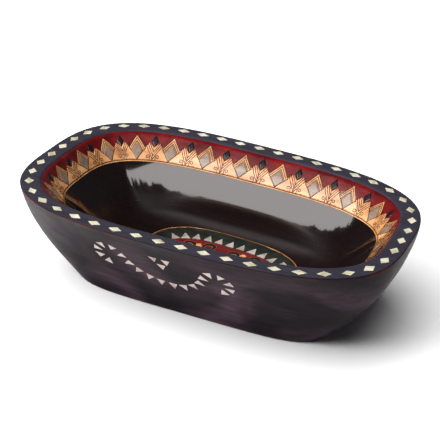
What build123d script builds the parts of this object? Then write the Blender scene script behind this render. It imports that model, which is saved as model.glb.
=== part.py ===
"""Carved wooden bowl: a long squared oval, wider at the rim than at the base, cut from one
block of wood, with flat plates of shell let into the rim, the outer walls and the floor."""
import os
from bisect import bisect
from math import atan2, cos, degrees, dist, pi, sin

from build123d import *

os.makedirs("parts", exist_ok=True)

# ---------------------------------------------------------------- driving dimensions, mm
bowl_height = 95.0
rim_half_length = 175.0
rim_half_width = 113.4
rim_squareness = 3.1          # exponent of the outline: 2 is an ellipse, more is squarer
base_half_length = 118.5
base_half_width = 60.0
base_squareness = 5.0
taper = 0.034                 # the +X end is this much narrower than the middle
end_belly = 1.0               # how far the end walls bulge out between base and rim
side_belly = -0.45            # the long walls flare instead, so they bend the other way

rim_breadth = 16.9            # flat top of the wall
hollow_squareness = 3.28
hollow_depth = 72.0
floor_half_length = 86.0
floor_half_width = 57.0
floor_squareness = 2.8
end_curve = 0.71              # under 1, the hollow's ends swing in like a dish
side_curve = 2.2              # over 1, its long sides flare out at the rim

base_edge_radius = 2.5
rim_edge_radius = 1.2
floor_edge_radius = 12.0

shell_thickness = 1.4
shell_proud = 0.1             # each plate stands this far out of the wood

rim_diamond_count = 47
rim_diamond_length = 12.4
rim_diamond_width = 8.2
rim_diamond_inset = 7.9       # from the rim's outer edge to the middle of the diamonds
rim_diamond_start = -0.065    # place of the first one past the +X end, in spacings
rim_end_share = 0.72          # diamonds further out than this share of the length are at an end

wall_tile_base = 8.2
wall_tile_height = 9.0
swag_tile_count = 20
swag_centre_x = -12.3         # the swag hangs a little off the middle of the wall
swag_half_path = (            # its right half, seen from outside: it rises, then curls back under
    (0, 36),
    (17, 38),
    (27.5, 44),
    (34.5, 52),
    (39, 60.5),
    (44.5, 67.5),
    (53, 68.5),
    (59.5, 62.5),
    (60.5, 54),
    (54, 47.5),
)
swag_crowding = 0.2           # plates sit closer together towards the curls
curl_start = 37.0             # plates further than this from the swag's middle are its curls
sprig_places = ((-5.0, 69.5), (6.5, 69.0), (0.5, 60.2))

tooth_count = 30
tooth_base = 9.0
tooth_height = 11.5
tooth_ring_half_length = 63.0
tooth_ring_half_width = 39.2
tooth_end_share = 0.8
turned_tooth = 2              # the carver set this one with its point inwards

outline_points = 48            # points that each loft section's spline runs through
body_levels = (0, 0.2, 0.4, 0.6, 0.8, 1)
hollow_depths = (0, 0.16, 0.32, 0.5, 0.7, 0.88, 1)


# ---------------------------------------------------------------- shapes
def oval(half_length, half_width, squareness, angle):
    """A point of the squared oval in the direction of angle, narrowed towards +X."""
    along = abs(cos(angle) / half_length) ** squareness
    across = abs(sin(angle) / half_width) ** squareness
    reach = (along + across) ** (-1 / squareness)
    x = reach * cos(angle)
    y = reach * sin(angle) * (1 - taper * x / half_length)
    return x, y


def outside_size(level):
    """Half length, half width and squareness of the outside, at level 0 (base) to 1 (rim)."""
    swell = level * (1 - level)
    half_length = base_half_length + (rim_half_length - base_half_length) * (level + end_belly * swell)
    half_width = base_half_width + (rim_half_width - base_half_width) * (level + side_belly * swell)
    squareness = base_squareness + (rim_squareness - base_squareness) * level
    return half_length, half_width, squareness


def hollow_size(depth):
    """The same for the hollow, at depth 0 (rim) to 1 (floor)."""
    top_half_length = rim_half_length - rim_breadth
    top_half_width = rim_half_width - rim_breadth
    half_length = floor_half_length + (top_half_length - floor_half_length) * (1 - depth) ** end_curve
    half_width = floor_half_width + (top_half_width - floor_half_width) * (1 - depth) ** side_curve
    squareness = hollow_squareness + (floor_squareness - hollow_squareness) * depth
    return half_length, half_width, squareness


def outline(size):
    return [oval(*size, 2 * pi * number / outline_points) for number in range(outline_points)]


def ring_places(size, count, start=0.0):
    """Places at equal distances round an oval, each (x, y, heading in degrees)."""
    steps = 3600
    points = [oval(*size, 2 * pi * step / steps) for step in range(steps + 1)]
    walked = [0.0]
    for here, there in zip(points, points[1:]):
        walked.append(walked[-1] + dist(here, there))
    places = []
    for number in range(count):
        step = bisect(walked, (number + start) % count / count * walked[-1]) % steps
        (x, y), (next_x, next_y) = points[step - 1], points[step]
        places.append((x, y, degrees(atan2(next_y - y, next_x - x))))
    return places


def wall_point(x, z, side):
    """A point on the outside of a long wall: side is -1 for the front and +1 for the back."""
    half_length, half_width, squareness = outside_size(z / bowl_height)
    y = half_width * (1 - abs(x / half_length) ** squareness) ** (1 / squareness)
    return Vector(x, side * y * (1 - taper * x / half_length), z)


def wall_plane(x, z, side):
    """A plane lying on the long wall, its X level and pointing right as seen from outside."""
    right = (wall_point(x + 1, z, side) - wall_point(x - 1, z, side)) * -side
    up = wall_point(x, z + 1, side) - wall_point(x, z - 1, side)
    return Plane(origin=wall_point(x, z, side), x_dir=right, z_dir=right.cross(up))


def triangle(base, height):
    """Corners of a triangle that points down, centred on its middle."""
    return (-base / 2, height / 2), (base / 2, height / 2), (0, -height / 2)


def inlay_group(label, plates):
    """Flat plates of shell, each (plane on the wood, corners, turn), let in with a little proud."""
    with BuildPart() as group:
        for plane, corners, turn in plates:
            with BuildSketch(plane.offset(shell_proud)):
                with Locations(Location((0, 0, 0), (0, 0, turn))):
                    Polygon(*corners, align=None)
            extrude(amount=-shell_thickness)
    group.part.label = label
    export_step(group.part, f"parts/{label}.step")
    return group.part


# ---------------------------------------------------------------- shell in the rim
diamond = (
    (-rim_diamond_length / 2, 0),
    (0, -rim_diamond_width / 2),
    (rim_diamond_length / 2, 0),
    (0, rim_diamond_width / 2),
)
diamond_ring = (
    rim_half_length - rim_diamond_inset,
    rim_half_width - rim_diamond_inset,
    (rim_squareness + hollow_squareness) / 2,
)
rim_end = rim_end_share * rim_half_length
rim_groups = {"front": [], "back": [], "left": [], "right": []}
for x, y, heading in ring_places(diamond_ring, rim_diamond_count, rim_diamond_start):
    if abs(x) > rim_end:
        where = "right" if x > 0 else "left"
    else:
        where = "back" if y > 0 else "front"
    rim_groups[where].append((Plane(origin=(x, y, bowl_height)), diamond, heading))

rim_inlays = [inlay_group(f"rim_diamonds_{where}", plates) for where, plates in rim_groups.items()]


# ---------------------------------------------------------------- shell in the long walls
with BuildLine() as swag_line:
    Spline(*swag_half_path)
swag_half = swag_line.edge()
wall_tile = triangle(wall_tile_base, wall_tile_height)


def swag_groups(side):
    """Plates of one long wall in four groups, all placed as seen from outside that wall."""
    groups = {"left_curl": [], "swag": [], "right_curl": [], "sprig": []}
    for number in range(swag_tile_count // 2):
        share = (number + 0.5) / (swag_tile_count / 2 - 0.5)
        walked = share * (1 + swag_crowding * (1 - share)) * swag_half.length
        place = swag_half.position_at(walked, PositionMode.LENGTH)
        heading = swag_half.tangent_at(walked, PositionMode.LENGTH)
        turn = degrees(atan2(heading.Y, heading.X))
        for hand, curl in ((1, "right_curl"), (-1, "left_curl")):
            plane = wall_plane(-side * (swag_centre_x + hand * place.X), place.Y, side)
            groups[curl if place.X > curl_start else "swag"].append((plane, wall_tile, hand * turn))
    for offset_x, z in sprig_places:
        plane = wall_plane(-side * (swag_centre_x + offset_x), z, side)
        groups["sprig"].append((plane, wall_tile, 0))
    return groups


wall_inlays = []
for wall, side in (("front", -1), ("back", 1)):
    for name, plates in swag_groups(side).items():
        wall_inlays.append(inlay_group(f"{wall}_{name}", plates))


# ---------------------------------------------------------------- shell in the floor
floor_level = bowl_height - hollow_depth
tooth = triangle(tooth_base, tooth_height)
tooth_ring = (tooth_ring_half_length, tooth_ring_half_width, floor_squareness)
tooth_ring_end = tooth_end_share * tooth_ring_half_length
tooth_groups = {"front": [], "back": [], "left": [], "right": []}
for number, (x, y, heading) in enumerate(ring_places(tooth_ring, tooth_count, 0.5)):
    if abs(x) > tooth_ring_end:
        where = "right" if x > 0 else "left"
    else:
        where = "back" if y > 0 else "front"
    turn = heading + 180 if number == turned_tooth else heading
    tooth_groups[where].append((Plane(origin=(x, y, floor_level)), tooth, turn))

floor_inlays = [inlay_group(f"floor_teeth_{where}", plates) for where, plates in tooth_groups.items()]


# ---------------------------------------------------------------- the wooden bowl
edge_radii = (
    (0, base_edge_radius),
    (bowl_height, rim_edge_radius),
    (floor_level, floor_edge_radius),
)
with BuildPart() as bowl_body:
    for level in body_levels:
        with BuildSketch(Plane.XY.offset(level * bowl_height)):
            with BuildLine():
                Spline(*outline(outside_size(level)), periodic=True)
            make_face()
    loft()
    for depth in hollow_depths:
        with BuildSketch(Plane.XY.offset(bowl_height - depth * hollow_depth)):
            with BuildLine():
                Spline(*outline(hollow_size(depth)), periodic=True)
            make_face()
    loft(mode=Mode.SUBTRACT)
    for level, radius in edge_radii:
        fillet(bowl_body.edges().filter_by_position(Axis.Z, level - 0.1, level + 0.1), radius)
    for inlay in rim_inlays + wall_inlays + floor_inlays:
        add(inlay, mode=Mode.SUBTRACT)
bowl_body.part.label = "bowl_body"
export_step(bowl_body.part, "parts/bowl_body.step")
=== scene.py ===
"""Looks of the carved oval bowl: lacquered wood, painted borders and shell inlay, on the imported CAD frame."""
import math

import bmesh
import bpy
import numpy as np
from mathutils import Matrix, Vector
from mathutils.bvhtree import BVHTree


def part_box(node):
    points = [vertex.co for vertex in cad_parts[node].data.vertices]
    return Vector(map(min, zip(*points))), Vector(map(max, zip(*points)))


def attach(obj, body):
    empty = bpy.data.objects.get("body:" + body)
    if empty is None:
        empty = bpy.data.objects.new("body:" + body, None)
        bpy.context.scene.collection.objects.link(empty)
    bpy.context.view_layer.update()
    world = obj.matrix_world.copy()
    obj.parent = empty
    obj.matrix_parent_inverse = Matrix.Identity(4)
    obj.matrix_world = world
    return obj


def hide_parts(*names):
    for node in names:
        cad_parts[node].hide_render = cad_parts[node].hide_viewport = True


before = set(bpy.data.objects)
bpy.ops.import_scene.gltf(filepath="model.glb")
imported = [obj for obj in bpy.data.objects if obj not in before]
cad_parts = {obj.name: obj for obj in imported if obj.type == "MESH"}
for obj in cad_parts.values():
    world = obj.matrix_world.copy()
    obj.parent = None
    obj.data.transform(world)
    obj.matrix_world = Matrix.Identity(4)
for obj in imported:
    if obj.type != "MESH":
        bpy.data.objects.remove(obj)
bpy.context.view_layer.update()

MM = 0.001

# ------------------------------------------------------------------ the bowl's shape, as the CAD frame has it
BODY_LOW, BODY_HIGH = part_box("bowl_body")
HEIGHT = BODY_HIGH.z
RIM_HALF_LENGTH = BODY_HIGH.x
RIM_HALF_WIDTH = 113.4 * MM
RIM_SQUARENESS = 3.1
BASE_HALF_LENGTH = 118.5 * MM
BASE_HALF_WIDTH = 60.0 * MM
BASE_SQUARENESS = 5.0
TAPER = 0.034
END_BELLY = 1.0
SIDE_BELLY = -0.45
RIM_BREADTH = 16.9 * MM
HOLLOW_SQUARENESS = 3.28
HOLLOW_DEPTH = 72.0 * MM
FLOOR_LEVEL = HEIGHT - HOLLOW_DEPTH
FLOOR_HALF_LENGTH = 86.0 * MM
FLOOR_HALF_WIDTH = 57.0 * MM
FLOOR_SQUARENESS = 2.8
END_CURVE = 0.71
SIDE_CURVE = 2.2
BASE_EDGE_RADIUS = 2.5 * MM
RIM_EDGE_RADIUS = 1.2 * MM
FLOOR_EDGE_RADIUS = 12.0 * MM

CARVED_DEPTH = 0.85 * MM      # usual swing of the gouge marks
CARVED_INSET = 0.5 * MM       # how far the carved wall lies inside the CAD's wall
STAINED_ROUNDING = 4          # strips of the rim's outer rounding that carry the outer wall's stain

SEED = 7


def oval(half_length, half_width, squareness, angle):
    """Points of the squared oval in the directions angle, narrowed towards +X, as an array of x, y."""
    c, s = np.cos(angle), np.sin(angle)
    along = np.abs(c / half_length) ** squareness
    across = np.abs(s / half_width) ** squareness
    reach = (along + across) ** (-1 / squareness)
    x = reach * c
    return np.stack([x, reach * s * (1 - TAPER * x / half_length)], axis=-1)


def outside_size(level):
    swell = level * (1 - level)
    half_length = BASE_HALF_LENGTH + (RIM_HALF_LENGTH - BASE_HALF_LENGTH) * (level + END_BELLY * swell)
    half_width = BASE_HALF_WIDTH + (RIM_HALF_WIDTH - BASE_HALF_WIDTH) * (level + SIDE_BELLY * swell)
    squareness = BASE_SQUARENESS + (RIM_SQUARENESS - BASE_SQUARENESS) * level
    return half_length, half_width, squareness


def hollow_size(depth):
    top_length = RIM_HALF_LENGTH - RIM_BREADTH
    top_width = RIM_HALF_WIDTH - RIM_BREADTH
    left = np.maximum(1 - depth, 0)
    half_length = FLOOR_HALF_LENGTH + (top_length - FLOOR_HALF_LENGTH) * left**END_CURVE
    half_width = FLOOR_HALF_WIDTH + (top_width - FLOOR_HALF_WIDTH) * left**SIDE_CURVE
    squareness = HOLLOW_SQUARENESS + (FLOOR_SQUARENESS - HOLLOW_SQUARENESS) * depth
    return half_length, half_width, squareness


def outline_normals(points):
    """Outward unit normals of a closed outline given as an array of x, y."""
    run = np.roll(points, -1, axis=0) - np.roll(points, 1, axis=0)
    run /= np.linalg.norm(run, axis=1)[:, None]
    return np.stack([run[:, 1], -run[:, 0]], axis=1)


# ------------------------------------------------------------------ small mesh helpers
def new_object(name, mesh, *materials):
    piece = bpy.data.objects.new(name, mesh)
    bpy.context.scene.collection.objects.link(piece)
    for material in materials:
        mesh.materials.append(material)
    return piece


def smooth_noise(points, scale, seed):
    """Soft noise at an array of points, mostly between -1 and 1, made of a few seeded waves."""
    random = np.random.default_rng(seed)
    total = np.zeros(len(points))
    waves = 9
    for _ in range(waves):
        direction = random.normal(size=3)
        direction /= np.linalg.norm(direction)
        frequency = 2 * math.pi / scale * random.uniform(0.6, 1.5)
        total += np.sin(points @ direction * frequency + random.uniform(0, 2 * math.pi))
    return total / math.sqrt(waves)


# ------------------------------------------------------------------ procedural materials
def srgb(red, green, blue):
    """A colour given on the 0 to 255 screen scale, as linear numbers."""
    linear = []
    for value in (red, green, blue):
        share = value / 255
        linear.append(share / 12.92 if share <= 0.04045 else ((share + 0.055) / 1.055) ** 2.4)
    return (*linear, 1.0)


class Surface:
    """A node material around one Principled shader, with helpers for what feeds it."""

    def __init__(self, name, **numbers):
        self.material = bpy.data.materials.new(name)
        self.material.use_nodes = True
        self.nodes = self.material.node_tree.nodes
        self.links = self.material.node_tree.links
        self.shader = self.nodes["Principled BSDF"]
        for socket, value in numbers.items():
            self.shader.inputs[socket.replace("_", " ")].default_value = value
        self.place = self.nodes.new("ShaderNodeTexCoord").outputs["Object"]

    def node(self, kind, **settings):
        made = self.nodes.new(kind)
        for name, value in settings.items():
            setattr(made, name, value)
        return made

    def join(self, output, socket):
        self.links.new(output, socket)

    def stretched(self, scale, turn=(0, 0, 0)):
        mapping = self.node("ShaderNodeMapping")
        mapping.inputs["Rotation"].default_value = [math.radians(angle) for angle in turn]
        mapping.inputs["Scale"].default_value = scale
        self.join(self.place, mapping.inputs["Vector"])
        return mapping.outputs["Vector"]

    def noise(self, scale, detail=4.0, roughness=0.55, stretch=(1, 1, 1), distortion=0.0, turn=(0, 0, 0)):
        texture = self.node("ShaderNodeTexNoise")
        texture.inputs["Scale"].default_value = scale
        texture.inputs["Detail"].default_value = detail
        texture.inputs["Roughness"].default_value = roughness
        texture.inputs["Distortion"].default_value = distortion
        self.join(self.stretched(stretch, turn), texture.inputs["Vector"])
        return texture.outputs["Fac"]

    def ramp(self, value, *stops):
        ramp = self.node("ShaderNodeValToRGB")
        self.join(value, ramp.inputs["Fac"])
        elements = ramp.color_ramp.elements
        while len(elements) < len(stops):
            elements.new(0.5)
        for element, (position, colour) in zip(elements, stops):
            element.position = position
            element.color = colour
        return ramp.outputs["Color"]

    def spread(self, value, low, high, out_low, out_high):
        spread = self.node("ShaderNodeMapRange")
        self.join(value, spread.inputs["Value"])
        limits = {"From Min": low, "From Max": high, "To Min": out_low, "To Max": out_high}
        for socket, number in limits.items():
            spread.inputs[socket].default_value = number
        return spread.outputs["Result"]

    def mix(self, share, first, second, blend="MIX"):
        mix = self.node("ShaderNodeMix", data_type="RGBA", blend_type=blend)
        for socket, value in ((0, share), (6, first), (7, second)):
            if isinstance(value, (float, int, tuple)):
                mix.inputs[socket].default_value = value
            else:
                self.join(value, mix.inputs[socket])
        return mix.outputs[2]

    def height(self):
        axes = self.node("ShaderNodeSeparateXYZ")
        self.join(self.place, axes.inputs["Vector"])
        return axes.outputs["Z"]

    def multiply(self, first, second):
        product = self.node("ShaderNodeMath", operation="MULTIPLY")
        self.join(first, product.inputs[0])
        self.join(second, product.inputs[1])
        return product.outputs[0]

    def colour(self, output):
        self.join(output, self.shader.inputs["Base Color"])

    def roughness(self, output):
        self.join(output, self.shader.inputs["Roughness"])

    def bump(self, output, strength, distance):
        bump = self.node("ShaderNodeBump")
        bump.inputs["Strength"].default_value = strength
        bump.inputs["Distance"].default_value = distance
        self.join(output, bump.inputs["Height"])
        self.join(bump.outputs["Normal"], self.shader.inputs["Normal"])


GRAIN = (0.35, 4.0, 4.0)      # wood fibres run along the bowl


def outer_wood():
    """Satin aubergine-brown stain over carved wood, with painted highlights and painted shade streaked along
    the carved folds, painted shade darkening the wall towards the rim, and rubbed reddish where hands and
    shelves touch it.
    """
    skin = Surface("outer_wood", Specular_IOR_Level=0.04, Coat_Weight=0.03, Coat_Roughness=0.25)
    fibres = skin.noise(60, 6.0, 0.6, GRAIN)
    stain = skin.ramp(fibres, (0.3, srgb(36, 27, 32)), (0.55, srgb(48, 37, 43)), (0.8, srgb(60, 46, 50)))
    # painted highlight and shade: lighter and darker streaks along the carved folds stand in for their
    # reflections and shading
    folds = skin.noise(15, 2.5, 0.42, (0.62, 0.8, 1.0), 1.4, turn=(0, 38, 0))
    dark, plain, bright = (0.3, 0.27, 0.3, 1), (0.75, 0.7, 0.74, 1), (1.8, 1.65, 1.75, 1)
    fold_highlight_and_shade = skin.ramp(folds, (0.38, dark), (0.5, plain), (0.63, bright))
    # painted shade: the wall is darkened towards its top, just below the rim
    painted_shade_towards_top = skin.spread(skin.height(), HEIGHT * 0.45, HEIGHT * 0.95, 0.0, 0.8)
    shaded = skin.mix(painted_shade_towards_top, fold_highlight_and_shade, (0.2, 0.18, 0.2, 1))
    stain_with_painted_light = skin.mix(1.0, stain, shaded, "MULTIPLY")
    near_rim = skin.spread(skin.height(), HEIGHT - 5 * MM, HEIGHT - 1 * MM, 0.0, 1.0)
    rubbed = skin.spread(skin.noise(26, 5.0, 0.6, (0.5, 1.5, 3.0)), 0.46, 0.64, 0.0, 0.8)
    skin.colour(skin.mix(skin.multiply(near_rim, rubbed), stain_with_painted_light, srgb(84, 26, 22)))
    skin.roughness(skin.spread(skin.noise(22, 4.0, 0.6), 0.3, 0.7, 0.34, 0.52))
    skin.bump(fibres, 0.25, 0.25 * MM)
    return skin.material


def rim_wood():
    """The flat rim: dark slate stain, satin, with faint fibres."""
    skin = Surface("rim_wood", Specular_IOR_Level=0.4, Coat_Weight=0.2, Coat_Roughness=0.25)
    fibres = skin.noise(70, 5.0, 0.6, GRAIN)
    skin.colour(skin.ramp(fibres, (0.3, srgb(34, 33, 41)), (0.6, srgb(44, 42, 51)), (0.85, srgb(56, 51, 60))))
    skin.roughness(skin.spread(skin.noise(30, 4.0), 0.3, 0.7, 0.34, 0.5))
    skin.bump(fibres, 0.2, 0.2 * MM)
    return skin.material


def inner_lacquer():
    """Brown-black lacquer with the wood's fibres just showing, glossy on the walls, dull on the floor."""
    skin = Surface("inner_lacquer", Specular_IOR_Level=0.5, Coat_Weight=1.0, Coat_Roughness=0.03)
    fibres = skin.noise(55, 6.0, 0.62, GRAIN)
    skin.colour(skin.ramp(fibres, (0.3, srgb(8, 4, 4)), (0.62, srgb(18, 7, 7)), (0.85, srgb(32, 11, 10))))
    dull_below, glossy_above = FLOOR_LEVEL + 6 * MM, FLOOR_LEVEL + 30 * MM
    for socket, dull, glossy in (("Roughness", 0.5, 0.1), ("Coat Roughness", 0.5, 0.03),
                                 ("Coat Weight", 0.2, 1.0), ("Specular IOR Level", 0.2, 0.5)):
        level = skin.spread(skin.height(), dull_below, glossy_above, dull, glossy)
        skin.join(level, skin.shader.inputs[socket])
    skin.bump(skin.noise(26, 2.0, 0.5), 0.12, 0.2 * MM)
    return skin.material


def paint(name, deep, plain, light, mottle=140.0):
    """Hand-laid paint under the same lacquer: a colour that varies with the brush."""
    skin = Surface(name, Specular_IOR_Level=0.5, Coat_Weight=1.0, Coat_Roughness=0.04)
    brush = skin.noise(mottle, 5.0, 0.6, (0.6, 1.2, 1.6))
    skin.colour(skin.ramp(brush, (0.3, srgb(*deep)), (0.52, srgb(*plain)), (0.75, srgb(*light))))
    skin.roughness(skin.spread(skin.noise(40, 3.0), 0.3, 0.7, 0.22, 0.4))
    skin.bump(brush, 0.1, 0.1 * MM)
    return skin.material


def shell(name, deep, plain, light):
    """Mother-of-pearl shell: pale, clouded, with growth lines and a polished face."""
    skin = Surface(name, Specular_IOR_Level=0.6, Coat_Weight=0.5, Coat_Roughness=0.12)
    clouds = skin.noise(75, 3.0, 0.5, (1, 1, 1), 0.8)
    lines = skin.noise(420, 4.0, 0.6, (0.5, 1.6, 1))
    body = skin.ramp(clouds, (0.32, srgb(*deep)), (0.5, srgb(*plain)), (0.68, srgb(*light)))
    skin.colour(skin.mix(skin.spread(lines, 0.35, 0.75, 0.0, 0.3), body, srgb(*deep)))
    skin.roughness(skin.spread(clouds, 0.3, 0.7, 0.2, 0.36))
    skin.bump(lines, 0.15, 0.08 * MM)
    return skin.material


# ------------------------------------------------------------------ the wooden bowl
AROUND = 384
ANGLES = np.arange(AROUND) * 2 * math.pi / AROUND


def level_ring(size, z, inset=0.0):
    """One ring of points at height z; inset moves it towards the middle."""
    points = oval(*size, ANGLES)
    if inset:
        points = points - outline_normals(points) * inset
    return np.column_stack([points, np.full(AROUND, z)])


def corner_steps(count):
    return np.linspace(0, math.pi / 2, count)


def outside_rings():
    """Rings from the middle of the underside up to the top of the outer wall."""
    rings = []
    foot = level_ring(outside_size(0.0), 0.0, BASE_EDGE_RADIUS)
    for share in (0.12, 0.4, 0.7, 0.9, 1.0):
        rings.append(foot * (share, share, 1))
    for turn in corner_steps(7)[1:]:
        z = BASE_EDGE_RADIUS * (1 - math.cos(turn))
        inset = BASE_EDGE_RADIUS * (1 - math.sin(turn))
        rings.append(level_ring(outside_size(z / HEIGHT), z, inset))
    top = HEIGHT - RIM_EDGE_RADIUS
    for z in np.linspace(BASE_EDGE_RADIUS, top, 60)[1:]:
        rings.append(level_ring(outside_size(z / HEIGHT), z))
    return rings


def rim_rings():
    """Rings over the rim: outer edge, flat top and inner edge."""
    rings = []
    for turn in corner_steps(6)[1:]:
        z = HEIGHT - RIM_EDGE_RADIUS * (1 - math.sin(turn))
        inset = RIM_EDGE_RADIUS * (1 - math.cos(turn))
        rings.append(level_ring(outside_size(z / HEIGHT), z, inset))
    outer = rings[-1]
    inner = level_ring(hollow_size(0.0), HEIGHT, -RIM_EDGE_RADIUS)
    for share in np.linspace(0, 1, 9)[1:]:
        rings.append(outer + (inner - outer) * share)
    for turn in corner_steps(6)[1:]:
        drop = RIM_EDGE_RADIUS * (1 - math.cos(turn))
        inset = -RIM_EDGE_RADIUS * (1 - math.sin(turn))
        rings.append(level_ring(hollow_size(drop / HOLLOW_DEPTH), HEIGHT - drop, inset))
    return rings


def hollow_rings():
    """Rings down the hollow and across its floor."""
    rings = []
    fillet_top = HOLLOW_DEPTH - FLOOR_EDGE_RADIUS
    for drop in np.linspace(RIM_EDGE_RADIUS, fillet_top, 60)[1:]:
        rings.append(level_ring(hollow_size(drop / HOLLOW_DEPTH), HEIGHT - drop))
    for turn in corner_steps(16)[1:]:
        drop = fillet_top + FLOOR_EDGE_RADIUS * math.sin(turn)
        inset = FLOOR_EDGE_RADIUS * (1 - math.cos(turn))
        rings.append(level_ring(hollow_size(drop / HOLLOW_DEPTH), HEIGHT - drop, inset))
    edge = rings[-1]
    for share in np.linspace(1, 0, 15)[1:-1]:
        rings.append(edge * (share, share, 1))
    return rings


def carve(points, normals):
    """Shallow diagonal gouge marks that the carver left on the outer wall."""
    run = points @ np.array([0.80, 0.15, 0.58]) * 0.25
    slanted = np.column_stack([points[:, 0] * 0.7 - points[:, 2] * 0.9, points[:, 1], run])
    marks = smooth_noise(slanted, 0.055, SEED) * 0.45 + smooth_noise(points, 0.11, SEED + 1) * 0.55
    fade = np.clip(points[:, 2] / 0.012, 0, 1) * np.clip((HEIGHT - points[:, 2]) / 0.022, 0, 1)
    return points + normals * (marks * CARVED_DEPTH * fade - CARVED_INSET * fade)[:, None]


def bowl_mesh():
    """The whole bowl as one closed skin: stained outside, slate rim, lacquered hollow."""
    outer, rim, hollow = outside_rings(), rim_rings(), hollow_rings()
    rings = outer + rim + hollow
    points = np.concatenate(rings)
    grid = points.reshape(len(rings), AROUND, 3)
    up = np.gradient(grid, axis=0)
    round_ = np.roll(grid, -1, axis=1) - np.roll(grid, 1, axis=1)
    normals = np.cross(round_, up)
    normals /= np.maximum(np.linalg.norm(normals, axis=2), 1e-12)[..., None]
    wall = len(outer)
    rim_from, hollow_from = wall - 1 + STAINED_ROUNDING, wall + len(rim) - 1
    carved = carve(grid[:wall].reshape(-1, 3), normals[:wall].reshape(-1, 3))
    grid = grid.copy()
    grid[:wall] = carved.reshape(wall, AROUND, 3)
    mesh = bpy.data.meshes.new("bowl_wood")
    bm = bmesh.new()
    rows = [[bm.verts.new(point) for point in ring] for ring in grid]
    for number, (low, high) in enumerate(zip(rows, rows[1:])):
        slot = 0 if number < rim_from else 1 if number < hollow_from else 2
        for step in range(AROUND):
            after = (step + 1) % AROUND
            face = bm.faces.new((low[step], low[after], high[after], high[step]))
            face.material_index = slot
    for row, slot, turned in ((rows[0], 0, True), (rows[-1], 2, False)):
        middle = bm.verts.new(sum((vert.co for vert in row), Vector()) / AROUND)
        for step in range(AROUND):
            pair = (row[step], row[(step + 1) % AROUND])
            face = bm.faces.new((middle, *reversed(pair)) if turned else (middle, *pair))
            face.material_index = slot
    for face in bm.faces:
        face.smooth = True
    bm.to_mesh(mesh)
    bm.free()
    return mesh


bowl = new_object("bowl_wood", bowl_mesh(), outer_wood(), rim_wood(), inner_lacquer())
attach(bowl, "root")
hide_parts("bowl_body")

bpy.context.view_layer.update()
BOWL_TREE = BVHTree.FromObject(bowl, bpy.context.evaluated_depsgraph_get())

# ------------------------------------------------------------------ paint laid on the wood as thin films
BAND_REPEATS = 23             # painted peaks round the inner wall
BAND_START = 0.05             # place of the first peak past the +X end, in repeats
BAND_DEPTH = 22.6 * MM
BAND_PITCH = 37.57 * MM       # length of one repeat along the rim
BAND_RISE = 30.0 * MM         # the band's height measured up the sloping wall
WOBBLE = 0.28 * MM            # usual straying of the painter's hand

WALK_ANGLES = np.linspace(0, 2 * math.pi, 4001)
WALK_POINTS = oval(*hollow_size(0.0), WALK_ANGLES)
WALKED = np.concatenate([[0.0], np.cumsum(np.linalg.norm(np.diff(WALK_POINTS, axis=0), axis=1))])
WALKED /= WALKED[-1]


def squarely_inside(size, reach=60 * MM):
    """For each point of the rim walk, the angle on a smaller outline straight in from the rim."""
    inward = np.gradient(WALK_POINTS, axis=0)
    inward = np.column_stack([-inward[:, 1], inward[:, 0]])
    inward /= np.linalg.norm(inward, axis=1)[:, None]
    near, far = np.zeros(len(inward)), np.full(len(inward), reach)
    for _ in range(30):
        middle = (near + far) / 2
        x, y = (WALK_POINTS + inward * middle[:, None]).T
        angle = np.arctan2(y / (1 - TAPER * x / size[0]), x)
        inside = np.hypot(x, y) < np.linalg.norm(oval(*size, angle), axis=1)
        near, far = np.where(inside, near, middle), np.where(inside, middle, far)
    return np.unwrap(angle)


FOOT_ANGLES = squarely_inside(hollow_size(BAND_DEPTH / HOLLOW_DEPTH))


def wall_spots(flat):
    """Points on the inner wall for flat pattern points (x round the band, y up it), in metres."""
    turn = (flat[:, 0] / BAND_PITCH + BAND_START) / BAND_REPEATS
    rim_angle = np.interp(turn % 1.0, WALKED, WALK_ANGLES)
    foot_angle = np.interp(turn % 1.0, WALKED, FOOT_ANGLES)
    angle = foot_angle + (rim_angle - foot_angle) * flat[:, 1] / BAND_RISE
    drop = BAND_DEPTH - (BAND_DEPTH - RIM_EDGE_RADIUS) * flat[:, 1] / BAND_RISE
    points = oval(*hollow_size(drop / HOLLOW_DEPTH), angle)
    return np.column_stack([points, HEIGHT - drop])


def on_wall(flat):
    """Spots and normals on the inner wall for flat pattern points, with the painter's wobble."""
    loose = np.column_stack([flat, np.zeros(len(flat))])
    along, across = smooth_noise(loose, 26 * MM, SEED + 2), smooth_noise(loose, 20 * MM, SEED + 3)
    edge = np.clip(np.minimum(flat[:, 1], BAND_RISE - flat[:, 1]) / (4 * MM), 0, 1)
    flat = flat + np.stack([along, across], axis=1) * WOBBLE * edge[:, None]
    tiny = 0.2 * MM
    ways = []
    for shift in ((tiny, 0), (0, tiny)):
        ways.append(wall_spots(flat + shift) - wall_spots(flat - np.array(shift)))
    normals = np.cross(ways[1], ways[0])
    return wall_spots(flat), normals / np.linalg.norm(normals, axis=1)[:, None]


def on_floor(flat):
    """Spots and normals on the bowl's floor straight below flat points."""
    spots, normals = [], []
    for x, y in flat:
        spot, normal, _, _ = BOWL_TREE.ray_cast(Vector((x, y, HEIGHT)), Vector((0, 0, -1)))
        spots.append(spot)
        normals.append(normal)
    return np.array(spots), np.array(normals)


FINE_STEP = 2.2 * MM


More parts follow.
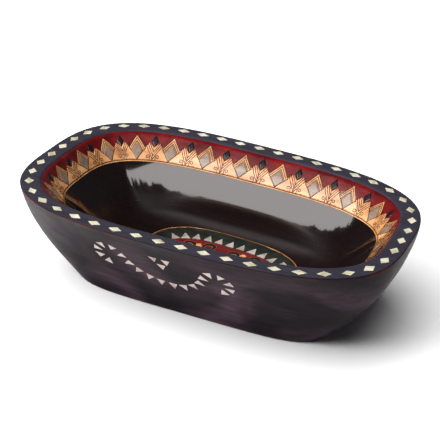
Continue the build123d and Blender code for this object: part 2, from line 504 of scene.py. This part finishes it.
def cut_fine(loops, step=FINE_STEP):
    """Flat loops filled with triangles no longer than step, as an array of points and a list of faces."""
    bm = bmesh.new()
    for loop in loops:
        points = [Vector((x, y, 0)) for x, y in loop]
        area = sum(a.x * b.y - b.x * a.y for a, b in zip(points, points[1:] + points[:1]))
        if area < 0:
            points.reverse()
        bm.faces.new([bm.verts.new(point) for point in points])
    bm.normal_update()
    bmesh.ops.triangulate(bm, faces=bm.faces[:])
    while long_edges := [edge for edge in bm.edges if edge.calc_length() > step]:
        bmesh.ops.subdivide_edges(bm, edges=long_edges, cuts=1)
        bm.normal_update()
        bmesh.ops.triangulate(bm, faces=[face for face in bm.faces if len(face.verts) > 3])
    bm.verts.index_update()
    points = np.array([vert.co[:2] for vert in bm.verts])
    faces = [tuple(vert.index for vert in face.verts) for face in bm.faces]
    bm.free()
    return points, faces


def repeated(points, faces, count, pitch):
    """The same flat figure count times, pitch apart along x."""
    all_points = np.concatenate([points + (number * pitch, 0) for number in range(count)])
    all_faces = [tuple(corner + number * len(points) for corner in face)
                 for number in range(count) for face in faces]
    return all_points, all_faces


def film(name, material, flat, place, layer, under=0.06 * MM):
    """A closed skin of paint, riding on the bowl: its top a layer above the wood, its back just inside."""
    points, faces = flat
    spots, normals = place(points)
    first = [spots[corner] for corner in faces[0][:3]]
    if np.dot(np.cross(first[1] - first[0], first[2] - first[0]), normals[faces[0][0]]) < 0:
        faces = [face[::-1] for face in faces]
    count = len(points)
    edges = {pair for face in faces for pair in zip(face, face[1:] + face[:1])}
    backs = [tuple(corner + count for corner in face[::-1]) for face in faces]
    sides = [(a, a + count, b + count, b) for a, b in sorted(edges) if (b, a) not in edges]
    mesh = bpy.data.meshes.new(name)
    both = np.concatenate([spots + normals * layer, spots - normals * under])
    mesh.from_pydata(both.tolist(), [], faces + backs + sides)
    smooth = [True] * (2 * len(faces)) + [False] * len(sides)
    mesh.polygons.foreach_set("use_smooth", smooth)
    mesh.update()
    piece = new_object(name, mesh, material)
    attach(piece, "root")


def stroke(path, width):
    """The loop round a painted line, mitred at its corners."""
    path = np.array(path, float)
    runs = np.diff(path, axis=0)
    runs /= np.linalg.norm(runs, axis=1)[:, None]
    across = np.column_stack([-runs[:, 1], runs[:, 0]])
    before = np.concatenate([across[:1], across])
    after = np.concatenate([across, across[-1:]])
    mitre = (before + after) / (1 + np.sum(before * after, axis=1))[:, None]
    widths = np.broadcast_to(np.asarray(width, float), len(path))[:, None]
    return np.concatenate([path + mitre * widths / 2, (path - mitre * widths / 2)[::-1]])


def motif(points):
    """Motif points in repeats and shares of the band's rise, as flat metres."""
    return [(x * BAND_PITCH, y * BAND_RISE) for x, y in points]


def mirrored(points, about=0.0):
    return [(2 * about - x, y) for x, y in points]


def spiral(centre, start_radius, end_radius, start, sweep, steps=18):
    """Points of a curl that winds in round its centre, angles in degrees."""
    path = []
    for step in range(steps + 1):
        share = step / steps
        angle = math.radians(start + sweep * share)
        radius = start_radius + (end_radius - start_radius) * share
        path.append((centre[0] + radius * math.cos(angle), centre[1] + radius * math.sin(angle)))
    return path


def ring_strip(place_in, place_out):
    """A closed strip of flat points between an inner and an outer outline."""
    columns = AROUND
    rows = [place_in + (place_out - place_in) * share for share in np.linspace(0, 1, 3)]
    faces = []
    for row in range(len(rows) - 1):
        for step in range(columns):
            after = (step + 1) % columns
            faces.append((row * columns + step, row * columns + after,
                          (row + 1) * columns + after, (row + 1) * columns + step))
    return np.concatenate(rows), faces


def band_strip(low, high, rows=2):
    """A closed strip round the whole band, between two shares of its rise."""
    points, faces = [], []
    for row in range(rows + 1):
        y = (low + (high - low) * row / rows) * BAND_RISE
        points += [(step / AROUND * BAND_REPEATS * BAND_PITCH, y) for step in range(AROUND)]
    for row in range(rows):
        low_row, high_row = row * AROUND, (row + 1) * AROUND
        for step in range(AROUND):
            after = (step + 1) % AROUND
            faces.append((low_row + step, low_row + after, high_row + after, high_row + step))
    return np.array(points), faces


red_paint = paint("red_paint", (62, 3, 6), (88, 5, 9), (114, 12, 15), 70.0)
gold_paint = paint("gold_paint", (150, 92, 48), (196, 138, 88), (214, 168, 122), 60.0)
grey_paint = paint("grey_paint", (96, 78, 66), (120, 100, 86), (138, 118, 102))
black_paint = paint("black_paint", (6, 8, 10), (12, 14, 16), (22, 24, 24))
line_paint = paint("line_paint", (30, 14, 6), (52, 28, 12), (84, 50, 26))
green_paint = paint("green_paint", (13, 17, 15), (22, 27, 23), (34, 38, 32))
worn_gold_paint = paint("worn_gold_paint", (112, 66, 34), (150, 98, 58), (178, 128, 84), 60.0)

# how far each coat of paint stands above the wood, from the first laid to the last
GROUND = 0.05 * MM
FIGURE = 0.09 * MM
EDGING = 0.11 * MM
ACCENT = 0.13 * MM
LINE = 0.17 * MM
TOP_LINE = 0.2 * MM
CURL_LINE = TOP_LINE + 0.02 * MM

# the band: deep red above, gold peaks and flames below, lozenges between them
film("band_red_ground", red_paint, band_strip(0.3, 1.0, 6), on_wall, GROUND)

half_crest = [(0.0, 0.90), (0.25, 0.48), (0.36, 0.67), (0.5, 0.50)]
gold_loop = motif([(-0.5, 0.06), (0.5, 0.06)] + half_crest[::-1] + mirrored(half_crest[1:]))
gold_flat = repeated(*cut_fine([gold_loop]), BAND_REPEATS, BAND_PITCH)
film("band_gold", gold_paint, gold_flat, on_wall, FIGURE)
film("band_foot_line", gold_paint, band_strip(0.0, 0.04, 1), on_wall, FIGURE)

grey_loop = motif([(0, 0.07), (0.18, 0.355), (0, 0.665), (-0.18, 0.355)])
film("band_grey_lozenges", grey_paint,
     repeated(*cut_fine([grey_loop]), BAND_REPEATS, BAND_PITCH), on_wall, ACCENT)
black_loop = motif([(0.5, 0.50), (0.6, 0.71), (0.5, 0.91), (0.4, 0.71)])
film("band_black_lozenges", black_paint,
     repeated(*cut_fine([black_loop]), BAND_REPEATS, BAND_PITCH), on_wall, ACCENT)

LINE_WIDTH = 0.75 * MM
CHEVRON_SLOPE = 1.72
chevrons = []
for apex, reach in ((0.90, 0.262), (0.80, 0.232), (0.70, 0.20)):
    fall = reach * CHEVRON_SLOPE
    chevrons.append([(-reach, apex - fall), (0, apex), (reach, apex - fall)])
flames = []
for foot, reach, top in ((0.09, 0.235, 0.575), (0.22, 0.195, 0.64), (0.35, 0.145, 0.66)):
    flames.append([(0.5 - reach, top), (0.5, foot), (0.5 + reach, top)])
lozenge_edges = [[(0.255, 0.48), (0, 0.07), (-0.255, 0.48)]]
CURL_CENTRE = (0.352, 0.185)
CURL_STRETCH = 1.15
curl_stem = [(0.415, 0.03), (0.413, 0.10)]
curl_turns = [(x, CURL_CENTRE[1] + (y - CURL_CENTRE[1]) * CURL_STRETCH)
              for x, y in spiral(CURL_CENTRE, 0.062, 0.02, -30, 420)]
curl = curl_stem + curl_turns
curls = [curl, mirrored(curl, 0.5)]
fine_line = LINE_WIDTH * 0.9
for name, paths, width, layer, step in (
        ("band_peak_lines", chevrons, LINE_WIDTH, LINE, FINE_STEP),
        ("band_flame_lines", flames, LINE_WIDTH, TOP_LINE, FINE_STEP),
        ("band_curls", lozenge_edges + curls, fine_line, CURL_LINE, 1.6 * MM)):
    loops = [stroke(motif(path), width) for path in paths]
    film(name, line_paint, repeated(*cut_fine(loops, step), BAND_REPEATS, BAND_PITCH), on_wall, layer)
film("band_foot_edge", line_paint, band_strip(0.04, 0.06, 1), on_wall, LINE)

# the floor: a dark ring in a gold line, a red field inside the teeth, and black scrolls with gold leaves
MEDALLION = (75.0 * MM, 51.5 * MM, 3.0)
FIELD = (58.0 * MM, 33.6 * MM, 2.8)
EDGE_LINE_WIDTH = 1.0 * MM
SCROLL_EDGE_WIDTH = 1.1 * MM  # the gold shows half of this on each side of a scroll
LEAF_HALF_LENGTH = 5.4
LEAF_HALF_WIDTH = 3.0


def disc(size):
    """A filled oval of flat points, in rings."""
    columns = AROUND // 2
    edge = oval(*size, np.arange(columns) * 2 * math.pi / columns)
    rows = [edge * share for share in np.linspace(1, 0.04, 24)]
    faces = []
    for row in range(len(rows) - 1):
        for step in range(columns):
            after = (step + 1) % columns
            faces.append((row * columns + after, row * columns + step,
                          (row + 1) * columns + step, (row + 1) * columns + after))
    faces.append(tuple((len(rows) - 1) * columns + step for step in range(columns)))
    return np.concatenate(rows), faces


edge_line = oval(*MEDALLION, ANGLES)
inner_line = edge_line - outline_normals(edge_line) * EDGE_LINE_WIDTH
film("floor_dark_ring", green_paint, disc(MEDALLION), on_floor, GROUND)
film("floor_gold_line", worn_gold_paint, ring_strip(inner_line, edge_line), on_floor, FIGURE)
film("floor_red_field", red_paint, disc(FIELD), on_floor, FIGURE)

# in millimetres from the middle of the floor: scrolls on one long side, then leaves as x, y and turn
scroll_paths = (
    spiral((29.0, 20.5), 7.5, 2.0, -40, 330),
    spiral((10.0, 20.0), 6.5, 2.5, 200, -300),
    spiral((-15.5, 23.0), 7.0, 2.0, 220, -330),
    spiral((-36.0, 19.0), 7.0, 2.0, -40, 330),
)
leaf_places = ((16.5, 22.0, 60), (-25.5, 20.5, 120), (46.0, 9.0, 15), (-49.0, 8.0, 165), (0.5, 12.0, 90))


def leaf_outline(x, y, turn, side):
    """A pointed leaf, wider towards its tip, on one side of the floor."""
    outline = []
    c, s = math.cos(math.radians(turn)), math.sin(math.radians(turn))
    for step in range(16):
        angle = step * math.pi / 8
        along = LEAF_HALF_LENGTH * math.cos(angle)
        wide = LEAF_HALF_WIDTH * math.sin(angle) * (1.25 + math.cos(angle)) / 1.6
        outline.append(((x + along * c - wide * s) * MM, side * (y + along * s + wide * c) * MM))
    return outline


scrolls, scroll_edges, leaves = [], [], []
for side in (1, -1):
    for path in scroll_paths:
        widths = np.interp(np.linspace(0, 1, len(path)), [0, 0.3, 1], [1.2, 4.0, 1.4]) * MM
        points = [(x * MM, side * y * MM) for x, y in path]
        scrolls.append(stroke(points, widths))
        scroll_edges.append(stroke(points, widths + SCROLL_EDGE_WIDTH))
    leaves += [leaf_outline(*place, side) for place in leaf_places]
film("floor_scroll_edges", worn_gold_paint, cut_fine(scroll_edges), on_floor, EDGING)
film("floor_scrolls", black_paint, cut_fine(scrolls), on_floor, ACCENT)
film("floor_leaves", gold_paint, cut_fine(leaves), on_floor, LINE)


# ------------------------------------------------------------------ shell plates, cut and seated by hand
PLATE_BEVEL = 0.22 * MM
PLATE_PROUD = 0.1 * MM
PLATE_DEPTH = 0.9 * MM        # how far a plate is let into the wood


def plates_of(node):
    """The outer corners and outward direction of every plate in a CAD group."""
    bm = bmesh.new()
    bm.from_mesh(bpy.data.objects[node].data)
    bmesh.ops.remove_doubles(bm, verts=bm.verts[:], dist=0.001 * MM)
    waiting = set(bm.verts)
    found = []
    while waiting:
        island, edge_of = [], [waiting.pop()]
        while edge_of:
            vert = edge_of.pop()
            island.append(vert)
            for edge in vert.link_edges:
                other = edge.other_vert(vert)
                if other in waiting:
                    waiting.remove(other)
                    edge_of.append(other)
        points = np.array([vert.co for vert in island])
        middle = points.mean(axis=0)
        normal = np.linalg.svd(points - middle)[2][-1]
        outward = normal[2] if abs(normal[2]) > 0.9 else normal[1] * middle[1]
        normal = normal if outward > 0 else -normal
        outer = points[(points - middle) @ normal > 0]
        found.append((outer, normal))
    bm.free()
    return sorted(found, key=lambda plate: (round(plate[0][:, 0].mean(), 4), round(plate[0][:, 1].mean(), 4)))


def seated(corners, normal):
    """Where a plate lies on the wood: its middle, outward direction and corners round it in order."""
    middle = corners.mean(axis=0)
    spots, facing = [], []
    for corner in [middle, *(middle + (corners - middle) * 0.8)]:
        start = Vector(corner + normal * 8 * MM)
        spot, face_normal, _, _ = BOWL_TREE.ray_cast(start, Vector(-normal))
        spots.append(np.array(spot))
        facing.append(np.array(face_normal))
    facing = np.mean(facing, axis=0)
    facing /= np.linalg.norm(facing)
    right = np.cross([0, 0, 1] if abs(facing[2]) < 0.9 else [0, 1, 0], facing)
    right /= np.linalg.norm(right)
    up = np.cross(facing, right)
    flat = np.stack([(corners - middle) @ right, (corners - middle) @ up], axis=1)
    flat = flat[np.argsort(np.arctan2(flat[:, 1], flat[:, 0]))]
    return np.mean(spots, axis=0), facing, right, up, flat


def shell_group(name, node, material, random):
    """The plates of one CAD group, each with its own small slips of cut and seat."""
    mesh = bpy.data.meshes.new(name)
    bm = bmesh.new()
    for corners, normal in plates_of(node):
        middle, facing, right, up, flat = seated(corners, normal)
        flat = flat * random.uniform(0.94, 1.02) + random.uniform(-0.22, 0.22, flat.shape) * MM
        tilt = random.uniform(-0.008, 0.008, 2)
        proud = PLATE_PROUD + random.uniform(-0.02, 0.03) * MM

        def corner(point, level):
            lift = proud + point @ tilt + level
            return middle + right * point[0] + up * point[1] + facing * lift

        middle_flat = flat.mean(axis=0)
        shrunk = []
        for before, here, after in zip(np.roll(flat, 1, axis=0), flat, np.roll(flat, -1, axis=0)):
            ways = [way / np.linalg.norm(way) for way in (here - before, after - here)]
            inward = [np.array([-way[1], way[0]]) for way in ways]
            mitre = (inward[0] + inward[1]) / (1 + inward[0] @ inward[1])
            shrunk.append(here + mitre * PLATE_BEVEL)
        levels = ((flat, -PLATE_DEPTH), (flat, -PLATE_BEVEL * 0.5), (np.array(shrunk), 0.0))
        rows = [[bm.verts.new(corner(point, level)) for point in outline] for outline, level in levels]
        for low, high in zip(rows, rows[1:]):
            for step in range(len(low)):
                after = (step + 1) % len(low)
                bm.faces.new((low[step], low[after], high[after], high[step]))
        bm.faces.new(rows[-1])
        bm.faces.new(rows[0][::-1])
    bm.to_mesh(mesh)
    bm.free()
    piece = new_object(name, mesh, material)
    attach(piece, "root")
    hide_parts(node)


cream_shell = shell("cream_shell", (146, 138, 112), (182, 176, 154), (204, 199, 182))
rose_shell = shell("rose_shell", (142, 120, 114), (176, 154, 148), (196, 178, 172))
smoke_shell = shell("smoke_shell", (112, 104, 94), (146, 136, 124), (170, 160, 148))
chooser = np.random.default_rng(SEED + 10)
for side in ("front", "back", "left", "right"):
    shell_group(f"shell_rim_{side}", f"rim_diamonds_{side}", cream_shell, chooser)
for side in ("front", "back"):
    for group in ("left_curl", "swag", "right_curl", "sprig"):
        shell_group(f"shell_{side}_{group}", f"{side}_{group}", rose_shell, chooser)
for side in ("front", "back", "left", "right"):
    shell_group(f"shell_floor_{side}", f"floor_teeth_{side}", smoke_shell, chooser)


# ------------------------------------------------------------------ floor, light and camera
def flat_panel(name, material, size, place, look_at):
    """A square sheet facing a point."""
    half = size / 2
    mesh = bpy.data.meshes.new(name)
    corners = [(-half, -half, 0), (half, -half, 0), (half, half, 0), (-half, half, 0)]
    mesh.from_pydata(corners, [], [(0, 1, 2, 3)])
    panel = new_object(name, mesh, material)
    panel.location = place
    panel.rotation_mode = "QUATERNION"
    panel.rotation_quaternion = (Vector(look_at) - Vector(place)).to_track_quat("Z", "Y")
    return panel


ground_material = Surface("studio_floor", Roughness=0.8)
ground_material.colour(ground_material.ramp(ground_material.noise(3), (0.3, (0.86, 0.86, 0.86, 1)),
                                            (0.7, (0.88, 0.88, 0.88, 1))))
ground = flat_panel("studio_floor", ground_material.material, 12.0, (0, 0, 0), (0, 0, 1))


def area_light(name, place, aim, size, power):
    """A soft white lamp that lights the bowl and stays out of its reflections."""
    lamp = bpy.data.lights.new(name, "AREA")
    lamp.shape = "RECTANGLE"
    lamp.size, lamp.size_y = size
    lamp.energy = power
    holder = bpy.data.objects.new(name, lamp)
    bpy.context.scene.collection.objects.link(holder)
    holder.location = place
    holder.rotation_mode = "QUATERNION"
    holder.rotation_quaternion = (Vector(aim) - Vector(place)).to_track_quat("-Z", "Y")
    holder.visible_glossy = False


area_light("overhead", (-0.5, -0.4, 2.6), (0, 0, 0), (3.0, 3.0), 140)
area_light("front_key", (-1.7, -1.7, 1.8), (0, 0, 0.05), (1.8, 1.8), 100)


def sky_strip(name, radius, skyline, high, glow):
    """A bright strip of sky round the front of the bowl above a ragged skyline, seen only as a reflection."""
    columns, rows = 200, 8
    angles = np.radians(np.linspace(skyline[0][0], skyline[-1][0], columns))
    along = np.column_stack([angles * radius, np.zeros(columns), np.zeros(columns)])
    ragged = smooth_noise(along, 0.35, SEED + 20) * 2.2 + smooth_noise(along, 0.07, SEED + 21) * 1.1
    bearings, heights = zip(*skyline)
    bottom = np.interp(np.degrees(angles), bearings, heights) + ragged
    points = []
    for row in range(rows + 1):
        share = row / rows
        rise = np.radians(bottom + (np.maximum(high, bottom + 1) - bottom) * share)
        points += zip(np.sin(angles) * radius, -np.cos(angles) * radius, np.tan(rise) * radius)
    faces = [(row * columns + step, row * columns + step + 1,
              (row + 1) * columns + step + 1, (row + 1) * columns + step)
             for row in range(rows) for step in range(columns - 1)]
    mesh = bpy.data.meshes.new(name)
    mesh.from_pydata(points, [], faces)
    glowing = Surface(name, Emission_Strength=glow, Emission_Color=(1.0, 0.95, 0.93, 1))
    glowing.shader.inputs["Base Color"].default_value = (0, 0, 0, 1)
    strip = new_object(name, mesh, glowing.material)
    for kind in ("camera", "diffuse", "shadow", "transmission"):
        setattr(strip, f"visible_{kind}", False)


# where the bright sky begins, as bearing and height in degrees; bearing 0 is the front and grows to the right
SKYLINE = ((-68, 38), (-52, 31), (-38, 23), (-25, 15), (-14, 14),
           (-6, 27), (4, 38), (18, 45), (40, 50), (60, 54))
SKY_TOP = 57
sky_strip("front_sky", 1.6, SKYLINE, SKY_TOP, 3.8)

world = bpy.data.worlds.new("studio")
bpy.context.scene.world = world
world.use_nodes = True
world.node_tree.nodes["Background"].inputs["Color"].default_value = (0.96, 0.95, 1.0, 1)
world.node_tree.nodes["Background"].inputs["Strength"].default_value = 0.05

CAMERA_PLACE = (0.34767, -0.85857, 0.56553)
CAMERA_AIM = Vector((0.00558, -0.00951, 0.07352))
CAMERA_ROLL = math.radians(4.171)
camera_data = bpy.data.cameras.new("camera")
camera_data.sensor_width = 36.0
camera_data.lens = 96.07
camera = bpy.data.objects.new("camera", camera_data)
bpy.context.scene.collection.objects.link(camera)
camera.location = CAMERA_PLACE
facing_bowl = (CAMERA_AIM - camera.location).to_track_quat("-Z", "Y").to_matrix()
turned = facing_bowl @ Matrix.Rotation(CAMERA_ROLL, 3, "Z")
camera.rotation_mode = "QUATERNION"
camera.rotation_quaternion = turned.to_quaternion()
camera_data.clip_start, camera_data.clip_end = 0.01, 50.0
bpy.context.scene.camera = camera
bpy.context.scene.view_settings.view_transform = "Standard"
